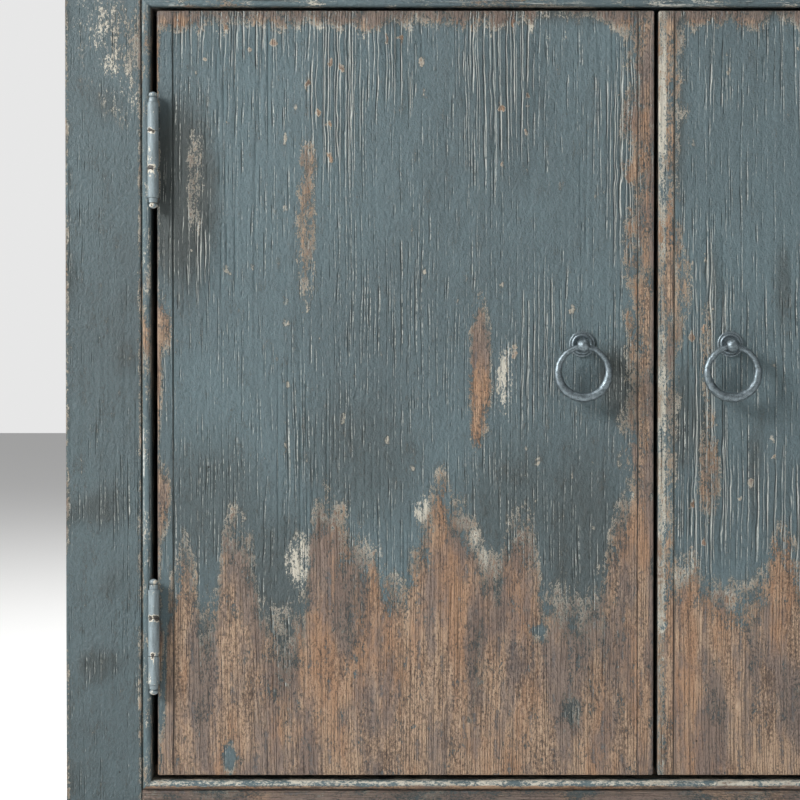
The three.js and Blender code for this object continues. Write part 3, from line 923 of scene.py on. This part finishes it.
class SIDEBOARD_OT_back(bpy.types.Operator):
    """Makes the back of tongued and grooved boards, with the nails that hold it"""

    bl_idname = "sideboard.back"
    bl_label = "Back"

    def execute(self, context):
        low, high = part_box("back_panel")
        low.x, high.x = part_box("side_left")[1].x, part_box("side_right")[0].x
        count = 20
        step = (high.x - low.x) / count
        joints = Joints([step * i for i in range(1, count)], half_width=1.6 * MM, depth=1.5 * MM)
        bm = sawn_board(low, high, "Z", 4 * MM, 24 * MM, 0.8 * MM, joints)
        weather(bm, low, high, "Z", 700, 0.2 * MM, clean_inside, joints)
        finished(bm, "back_panel_board", "bare_pine_Z", "root", "inside_wood", "back_panel")

        head_radius, flatness, from_top = 2.4 * MM, 0.28, 12 * MM
        backed = [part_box("shelf_left"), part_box("cupboard_floor")]
        rows = [(ends[0].z + ends[1].z) / 2 for ends in backed] + [high.z - from_top]
        nails = []
        for height in rows:
            for i in range(count):
                for share in (0.25, 0.75):
                    nail = bmesh.new()
                    bmesh.ops.create_uvsphere(nail, u_segments=8, v_segments=4, radius=head_radius)
                    bmesh.ops.scale(nail, vec=(1, flatness, 1), verts=nail.verts)
                    spot = Vector((low.x + step * (i + share), high.y - 0.1 * MM, height))
                    nails.append(moved(nail, spot))
        finished(joined(*nails), "back_nails", "nail_iron", "root", "painted_iron")
        return {"FINISHED"}


# ---- Beads ----


def section_piece(outline, length):
    """A closed outline of (x, y) points drawn out along Z, its middle at the origin."""
    bm = bmesh.new()
    corners = [bm.verts.new((x, y, -length / 2)) for x, y in outline]
    face = bm.faces.new(corners)
    drawn = bmesh.ops.extrude_face_region(bm, geom=[face])
    verts = [item for item in drawn["geom"] if isinstance(item, bmesh.types.BMVert)]
    bmesh.ops.translate(bm, vec=Z * length, verts=verts)
    return bm


def bead_section(width, depth, proud):
    """Section of a bead: a round nose on a square body, with a narrow quirk on its outer side."""
    quirk_width, quirk_depth, steps = 0.9 * MM, 1.2 * MM, 12
    nose = width - quirk_width
    outline = [(0, depth), (width, depth), (width, quirk_depth), (nose, quirk_depth)]
    for i in range(steps + 1):
        angle = math.pi * i / steps
        outline.append((nose / 2 * (1 + math.cos(angle)), -proud * math.sin(angle) ** 0.9))
    return outline


BEAD_SIDES = {"left": (-X, Z), "right": (X, Z), "top": (Z, X), "bottom": (-Z, X)}


class SIDEBOARD_OT_beads(bpy.types.Operator):
    """Makes the mitred bead strips round the two openings"""

    bl_idname = "sideboard.beads"
    bl_label = "Beads"

    def execute(self, context):
        frame_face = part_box("stile_left")[0].y
        for pair_index, pair in enumerate(("left", "right")):
            for side_index, (side, (outward, lengthways)) in enumerate(BEAD_SIDES.items()):
                node = f"bead_{pair}_{side}"
                low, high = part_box(node)
                size = high - low
                width = abs(size.dot(outward))
                inner = size.dot(lengthways) - 2 * width
                middle = (low + high) / 2 - outward * width / 2
                middle.y = frame_face
                section = bead_section(width, high.y - frame_face, frame_face - low.y)
                bm = section_piece(section, inner + 4 * width)
                cut_lengths(bm, Z, 4 * MM)
                for end in (-1, 1):
                    slice_at(bm, Z * (end * inner / 2), Vector((-1, 0, end)), cut_off=True)
                bmesh.ops.holes_fill(bm, edges=[edge for edge in bm.edges if edge.is_boundary])
                moved(bm, middle, Matrix((outward, Y, lengthways)).transposed().to_4x4())
                bmesh.ops.recalc_face_normals(bm, faces=bm.faces[:])
                seed = 10 * pair_index + side_index
                store_wear(bm, bead_wear(frame_face, outward, middle, side, seed))
                grain = "Z" if lengthways is Z else "X"
                finished(bm, node + "_strip", "distressed_" + grain, "root", "worn_bead_paint", node)
        return {"FINISHED"}


def bead_wear(frame_face, outward, middle, side, seed):
    """Rubbed in runs along the nose, with painted shade in the quirk and where the bead meets the frame. The
    bottom one is bare outside and primed inside, its pale primed upper side also a painted highlight from the
    light above.
    """
    def wear(co, gap):
        length = co.x + co.z
        runs = rough(length * 9, seed, 0)
        ragged = rough(length * 55, seed, co.y * 300)
        proud = smooth(frame_face - co.y, -0.5 * MM, 2.5 * MM)
        outer = smooth((co - middle).dot(outward), 3.2 * MM, 5.2 * MM)
        # Painted shade: darker in the quirk and where the bead meets the frame.
        grime_and_shade = (1 - proud) * 0.6
        if side == "bottom":
            # Pale primer on the bottom bead's upper side, also a painted highlight from the light above; its
            # lower side is bare wood.
            bare = min(max(0.95 * outer + 0.4 * ragged, 0.0), 1.0)
            return bare, 0.62 * (1 - outer) + 0.5 * ragged, grime_and_shade
        bare = 0.26 + 0.95 * runs + 0.35 * ragged - 0.25 * proud
        return min(max(bare, 0.0), 1.0) * 0.9, proud * 0.2 + 0.35 * ragged, grime_and_shade
    return wear


def store_wear(bm, wear):
    """Stores where a piece is bare and primed, and its grime and painted shade."""
    layers = wear_layers(bm, WEAR_LAYERS[:3])
    for vert in bm.verts:
        for layer, value in zip(layers.values(), wear(vert.co, 0.0)):
            vert[layer] = value


# ---- Hinges ----

HINGE_HALF = 37.5 * MM  # half the height over the three knuckles
MIDDLE_KNUCKLE = 15 * MM  # half the height of the middle one
KNUCKLE_GAP = 0.4 * MM
KNUCKLE_BORE = 2.6 * MM
PIN_RADIUS = 2.3 * MM
LEAF_SIDES = (0.3 * MM, 2.1 * MM)  # the two faces of a leaf, from the pin's middle
SCREW_RADIUS = 3 * MM


def turned(outline, steps):
    """A piece turned about Z from an outline of (radius, height) points."""
    bm = bmesh.new()
    verts = [bm.verts.new((radius, 0, height)) for radius, height in outline]
    edges = [bm.edges.new(pair) for pair in zip(verts, verts[1:])]
    if outline[0][0] > 0:
        edges.append(bm.edges.new((verts[-1], verts[0])))
    bmesh.ops.spin(
        bm, geom=verts + edges, cent=(0, 0, 0), axis=Z, angle=2 * math.pi, steps=steps, use_merge=True
    )
    bmesh.ops.remove_doubles(bm, verts=bm.verts[:], dist=TOUCH)
    bmesh.ops.dissolve_degenerate(bm, edges=bm.edges[:], dist=TOUCH)
    bmesh.ops.recalc_face_normals(bm, faces=bm.faces[:])
    return bm


def joined(*parts):
    """Several bmeshes as one, without joining their surfaces."""
    whole = bmesh.new()
    for part in parts:
        mesh = bpy.data.meshes.new("part")
        part.to_mesh(mesh)
        part.free()
        whole.from_mesh(mesh)
        bpy.data.meshes.remove(mesh)
    return whole


def knuckle(radius, bottom, top):
    """A rolled tube with softened ends, and more rings near them for the chips."""
    soft, nip = 0.45 * MM, 0.13 * MM
    rings = [soft, 0.9 * MM, 1.5 * MM, 2.2 * MM, 3 * MM, 4 * MM, 5.5 * MM]
    outline = [(KNUCKLE_BORE, bottom), (radius - soft, bottom), (radius - nip, bottom + nip)]
    outline += [(radius, bottom + ring) for ring in rings]
    outline += [(radius, top - ring) for ring in reversed(rings)]
    outline += [(radius - nip, top - nip), (radius - soft, top), (KNUCKLE_BORE, top)]
    return turned(outline, 40)


def finial_outline(start, radius, end):
    """Half a pin's outline, from above the middle up: collar, neck and button."""
    collar_height = (end - start) * 0.46
    neck = start + collar_height
    button_height = end - neck
    outline = [(PIN_RADIUS, start), (radius, start), (radius, start + 0.3 * MM)]
    outline += [(radius + 0.1 * MM, start + 0.8 * MM), (radius, start + 1.2 * MM)]
    outline += [(radius - 0.15 * MM, neck - 0.5 * MM), (radius - 0.1 * MM, neck - 0.2 * MM)]
    outline.append((radius * 0.82, neck))
    steps = 8
    for i in range(steps + 1):
        angle = math.pi * (0.85 * i / steps - 0.35)
        reach = 0.99 * radius * math.cos(angle) if i < steps else 0
        outline.append((reach, neck + button_height * (0.47 + 0.53 * math.sin(angle))))
    return outline


def hinge_wear(centre, seed):
    """Chips at the joints of the knuckles, and rubbed finials."""
    def wear(co, gap):
        rise = abs(co.z - centre.z)
        ragged = rough(co.x * 300, co.y * 300 + seed, co.z * 160)
        joint = 1 - smooth(abs(rise - MIDDLE_KNUCKLE), 0.8 * MM, 4.2 * MM)
        finial = smooth(rise, 38 * MM, 45 * MM)
        bare = 0.16 + joint * (0.34 + 0.9 * ragged) + finial * (0.14 + 0.3 * ragged)
        return min(max(bare, 0.0), 1.0), 0.0, 0.0
    return wear


def screw_head(centre, facing, radius):
    """A low head with a slot, which looks in the facing direction."""
    rise, rim, depth, slot, slot_depth = 0.25 * MM, 0.1 * MM, 0.4 * MM, 0.45 * MM, 0.35 * MM
    bm = turned([(0, rise), (radius * 0.7, 0.24 * MM), (radius, rim), (radius, -depth), (0, -depth)], 20)
    for side in (-1, 1):
        slice_at(bm, X * (slot * side), X)
    sunk = [vert for vert in bm.verts if abs(vert.co.x) < slot * 1.01 and vert.co.z > 0]
    faces = [face for face in bm.faces if all(vert in sunk for vert in face.verts)]
    drawn = bmesh.ops.extrude_face_region(bm, geom=faces)
    verts = [item for item in drawn["geom"] if isinstance(item, bmesh.types.BMVert)]
    bmesh.ops.delete(bm, geom=faces, context="FACES")
    bmesh.ops.translate(bm, vec=Z * -slot_depth, verts=verts)
    return moved(bm, centre, facing.to_track_quat("Z", "Y").to_matrix().to_4x4())


class SIDEBOARD_OT_hinges(bpy.types.Operator):
    """Makes the leaves, pins and screws of the butt hinges"""

    bl_idname = "sideboard.hinges"
    bl_label = "Hinges"

    def execute(self, context):
        for index, place in enumerate(DOORS):
            frame_side = -1 if place in ("far_left", "mid_right") else 1
            for level in ("upper", "lower"):
                base = f"hinge_{place}_{level}"
                self.hinge(base, place, frame_side, index * 7 + (3 if level == "lower" else 0))
        return {"FINISHED"}

    def hinge(self, base, place, frame_side, seed):
        pin_low, pin_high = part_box(base + "_pin")
        centre = (pin_low + pin_high) / 2
        for role, side in (("frame_leaf", frame_side), ("door_leaf", -frame_side)):
            node = f"{base}_{role}"
            low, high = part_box(node)
            radius = (high.x - low.x) / 2
            half = (high.z - low.z) / 2
            outer_start = MIDDLE_KNUCKLE + KNUCKLE_GAP
            if role == "door_leaf":
                spans = [(-MIDDLE_KNUCKLE, MIDDLE_KNUCKLE)]
            else:
                spans = [(outer_start, half), (-half, -outer_start)]
            parts = [knuckle(radius, bottom, top) for bottom, top in spans]
            parts += self.leaf(side, radius, half, high.y - centre.y, spans)
            bm = moved(joined(*parts), centre)
            store_wear(bm, hinge_wear(centre, seed))
            body = "root" if role == "frame_leaf" else "door_" + place
            finished(bm, node + "_iron", "hinge_paint", body, "painted_iron", node)

        start = HINGE_HALF + 0.2 * MM
        upper = finial_outline(start, (pin_high.x - pin_low.x) / 2, (pin_high.z - pin_low.z) / 2)
        outline = [(r, -z) for r, z in reversed(upper)] + upper
        bm = moved(turned(outline, 32), centre)
        store_wear(bm, hinge_wear(centre, seed + 1))
        finished(bm, base + "_pin_iron", "hinge_paint", "root", "painted_iron", base + "_pin")

    def leaf(self, side, radius, half, back, spans):
        """A leaf's plate, the necks that join it to its knuckles, and its three screw heads."""
        x0, x1 = sorted(side * face for face in LEAF_SIDES)
        front = radius + 0.4 * MM
        parts = [softened_block(Vector((x0, front, -half)), Vector((x1, back, half)), 0.25 * MM)]
        for bottom, top in spans:
            neck_low = Vector((x0, radius * 0.75, bottom + 0.2 * MM))
            neck_high = Vector((x1, radius + 1.2 * MM, top - 0.2 * MM))
            parts.append(softened_block(neck_low, neck_high, 0.2 * MM))
        for up in (-0.72, 0.0, 0.72):
            stagger = 1.5 * MM if up else -2 * MM
            spot = Vector((side * LEAF_SIDES[0], (front + back) / 2 + stagger, up * half))
            parts.append(screw_head(spot, X * -side, SCREW_RADIUS))
        return parts


# ---- Ring pulls ----

RING_THIN, RING_THICK = 2.1 * MM, 3.6 * MM  # radii of the ring's section, in the eye and at its bottom
ROSETTE_THICKNESS = 2.6 * MM
POST_NECK = 3.4 * MM
EYE_RADIUS = 3.2 * MM
EYE_DROP = 0.9 * MM  # the eye lies this far below the middle of the post's head


def pull_ring(eye, thin, thick, radius):
    """A forged ring hanging from the eye, thicker towards its bottom."""
    bm = bmesh.new()
    wide = 10  # the ring is first spun with a section of radius 1, this far from its middle
    section = bmesh.ops.create_circle(bm, segments=20, radius=1.0)["verts"]
    bmesh.ops.rotate(bm, verts=section, cent=(0, 0, 0), matrix=Matrix.Rotation(math.pi / 2, 3, "X"))
    bmesh.ops.translate(bm, vec=X * wide, verts=section)
    whole = bm.verts[:] + bm.edges[:]
    bmesh.ops.spin(bm, geom=whole, cent=(0, 0, 0), axis=Z, angle=2 * math.pi, steps=96, use_merge=True)
    bmesh.ops.rotate(bm, verts=bm.verts, cent=(0, 0, 0), matrix=Matrix.Rotation(math.pi / 2, 3, "X"))
    for vert in bm.verts:
        flat = Vector((vert.co.x, 0, vert.co.z)).normalized()
        off = vert.co - flat * wide
        lowness = (1 - flat.z) / 2
        size = thin + (thick - thin) * smooth(lowness, -0.1, 0.9)
        hammered = 1 + 0.02 * noise.noise(flat * 7 + eye * 100)
        vert.co = eye + flat * radius * hammered - Z * radius + off * size
    bmesh.ops.recalc_face_normals(bm, faces=bm.faces[:])
    return bm


def bored(body, cutter, name):
    """A bmesh with another one cut away from it."""
    pieces = []
    for part, bm in ((name + "_body", body), (name + "_cutter", cutter)):
        mesh = bpy.data.meshes.new(part)
        bm.to_mesh(mesh)
        bm.free()
        piece = bpy.data.objects.new(part, mesh)
        bpy.context.scene.collection.objects.link(piece)
        pieces.append(piece)
    solid, tool = pieces
    cut = solid.modifiers.new("bore", "BOOLEAN")
    cut.operation = "DIFFERENCE"
    cut.solver = "EXACT"
    cut.object = tool
    result = bmesh.new()
    result.from_object(solid, bpy.context.evaluated_depsgraph_get())
    for piece in pieces:
        mesh = piece.data
        bpy.data.objects.remove(piece)
        bpy.data.meshes.remove(mesh)
    return result


def rosette_outline(radius, thickness):
    """Stepped disc: a sharp rim, a cove, a round inner ring and a dished middle."""
    shares = [(0, 0), (1, 0), (1, 0.34), (0.97, 0.44), (0.92, 0.48), (0.88, 0.42), (0.84, 0.40)]
    steps = 8
    for i in range(steps + 1):
        angle = math.pi * i / steps
        shares.append((0.70 + 0.12 * math.cos(angle), 0.5 + 0.5 * math.sin(angle)))
    shares += [(0.52, 0.36), (0.4, 0.30), (0, 0.30)]
    return [(radius * reach, thickness * rise) for reach, rise in shares]


def post_outline(neck, head, stand_off):
    """A waisted post with a ball head."""
    outline = [(0, 0.4 * MM), (neck * 1.5, 0.4 * MM), (neck * 1.35, 1.6 * MM)]
    outline += [(neck * 1.1, 3.2 * MM), (neck, 5.2 * MM)]
    start = math.asin(neck / head)
    steps = 16
    for i in range(steps + 1):
        angle = start + (math.pi - start) * i / steps
        outline.append((head * math.sin(angle) if i < steps else 0, stand_off - head * math.cos(angle)))
    return outline


class SIDEBOARD_OT_pulls(bpy.types.Operator):
    """Makes the ring pulls"""

    bl_idname = "sideboard.pulls"
    bl_label = "Ring pulls"

    def execute(self, context):
        for place in DOORS:
            low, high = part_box(f"pull_{place}_mount")
            radius = (high.x - low.x) / 2
            ring_low, ring_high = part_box(f"pull_{place}_ring")
            eye = (ring_low + ring_high) / 2
            eye.z = ring_high.z - RING_THIN
            stand_off = high.y - eye.y
            head = eye.y - low.y
            forward = Matrix.Rotation(math.pi / 2, 4, "X")
            base = Vector((eye.x, high.y, high.z - radius))
            rosette = moved(turned(rosette_outline(radius, ROSETTE_THICKNESS), 64), base, forward)
            post_base = Vector((eye.x, high.y, eye.z + EYE_DROP))
            post = moved(turned(post_outline(POST_NECK, head, stand_off), 48), post_base, forward)
            bore = bmesh.new()
            bmesh.ops.create_cone(
                bore, cap_ends=True, segments=40, radius1=EYE_RADIUS, radius2=EYE_RADIUS, depth=40 * MM
            )
            moved(bore, eye, Matrix.Rotation(math.pi / 2, 4, "Y"))
            mount = joined(rosette, bored(post, bore, "post"))
            name = "pull_" + place
            finished(mount, name + "_post", "ring_pewter", "door_" + place, "pewter", name + "_mount")
            radius = (ring_high.z - ring_low.z - RING_THIN - RING_THICK) / 2
            ring = pull_ring(eye, RING_THIN, RING_THICK, radius)
            finished(ring, name + "_hoop", "ring_pewter", "ring_" + place, "pewter", name + "_ring")
        return {"FINISHED"}


# ---- Stage ----

FLOOR_HALF = 14.0  # half the floor's width
VIEW_ACROSS, VIEW_DOWN = 0.1926, 0.3084  # the view's middle, from the top left corner of the first door
VIEW_TILT = math.radians(0.75)
WORLD_LIGHT, WORLD_SEEN = 0.15, 0.80  # how bright the world shines, and how bright it looks


class SIDEBOARD_OT_stage(bpy.types.Operator):
    """Makes the floor, the lights and the camera"""

    bl_idname = "sideboard.stage"
    bl_label = "Stage"

    def execute(self, context):
        stage = settings("stage")
        bm = bmesh.new()
        bmesh.ops.create_grid(bm, x_segments=2, y_segments=2, size=FLOOR_HALF)
        mesh = bpy.data.meshes.new("floor")
        bm.to_mesh(mesh)
        bm.free()
        mesh.materials.append(material("pale_floor"))
        floor = bpy.data.objects.new("floor", mesh)
        context.scene.collection.objects.link(floor)

        door_low, door_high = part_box("door_far_left")
        centre = Vector((door_low.x + VIEW_ACROSS, door_low.y, door_high.z - VIEW_DOWN))
        away = Vector((0, -math.cos(VIEW_TILT), math.sin(VIEW_TILT)))
        camera = bpy.data.objects.new("camera", bpy.data.cameras.new("camera"))
        camera.location = centre + away * stage.view_distance
        camera.rotation_euler = (-away).to_track_quat("-Z", "Y").to_euler()
        camera.data.sensor_width = 36
        camera.data.lens = 36 * stage.view_distance / stage.view_width
        camera.data.clip_start = 0.05
        context.scene.collection.objects.link(camera)
        context.scene.camera = camera

        def area(name, place, target, size, power):
            """A round lamp at a place, turned to a target."""
            lamp = bpy.data.lights.new(name, "AREA")
            lamp.shape = "DISK"
            lamp.size = size
            lamp.energy = power
            light = bpy.data.objects.new(name, lamp)
            light.location = place
            light.rotation_euler = (target - place).to_track_quat("-Z", "Y").to_euler()
            context.scene.collection.objects.link(light)

        middle = Vector((0, 0, 0.45))
        area("key", centre + Vector((-2.6, -1.6, 1.7)), centre, 1.5, 185)
        area("overhead", Vector((0, 0.3, 3.0)), middle, 2.6, 60)
        area("fill", centre + Vector((2.4, -3.4, 1.2)), middle, 2.5, 16)
        area("rim", Vector((1.5, 3.0, 2.6)), middle, 2.0, 60)
        world = bpy.data.worlds.new("studio")
        world.use_nodes = True
        background = world.node_tree.nodes["Background"]
        background.inputs["Color"].default_value = (1, 1, 1, 1)
        path = world.node_tree.nodes.new("ShaderNodeLightPath")
        strength = world.node_tree.nodes.new("ShaderNodeMapRange")
        strength.inputs["To Min"].default_value = WORLD_LIGHT
        strength.inputs["To Max"].default_value = WORLD_SEEN
        world.node_tree.links.new(path.outputs["Is Camera Ray"], strength.inputs["Value"])
        world.node_tree.links.new(strength.outputs["Result"], background.inputs["Strength"])
        context.scene.world = world
        context.scene.view_settings.view_transform = "Standard"
        context.scene.view_settings.look = "None"
        return {"FINISHED"}


class SIDEBOARD_PT_panel(bpy.types.Panel):
    """Lists the steps that make the sideboard"""

    bl_idname = "SIDEBOARD_PT_panel"
    bl_label = "Painted pine sideboard"
    bl_space_type = "VIEW_3D"
    bl_region_type = "UI"
    bl_category = "Sideboard"

    def draw(self, context):
        for step in STEPS:
            self.layout.operator(step.bl_idname)


GROUPS = {"paint": PaintSettings, "wood": WoodSettings, "metal": MetalSettings, "stage": StageSettings}
STEPS = (
    SIDEBOARD_OT_stage,
    SIDEBOARD_OT_doors,
    SIDEBOARD_OT_case,
    SIDEBOARD_OT_base,
    SIDEBOARD_OT_inside,
    SIDEBOARD_OT_back,
    SIDEBOARD_OT_beads,
    SIDEBOARD_OT_hinges,
    SIDEBOARD_OT_pulls,
)


def register():
    for name, group in GROUPS.items():
        bpy.utils.register_class(group)
        setattr(bpy.types.Scene, "sideboard_" + name, bpy.props.PointerProperty(type=group))
    for step in STEPS:
        bpy.utils.register_class(step)
    bpy.utils.register_class(SIDEBOARD_PT_panel)


def unregister():
    bpy.utils.unregister_class(SIDEBOARD_PT_panel)
    for step in reversed(STEPS):
        bpy.utils.unregister_class(step)
    for name, group in GROUPS.items():
        delattr(bpy.types.Scene, "sideboard_" + name)
        bpy.utils.unregister_class(group)


def main():
    register()
    for step in STEPS:
        name = step.bl_idname.split(".")[1]
        getattr(bpy.ops.sideboard, name)()


if __name__ == "__main__":
    main()
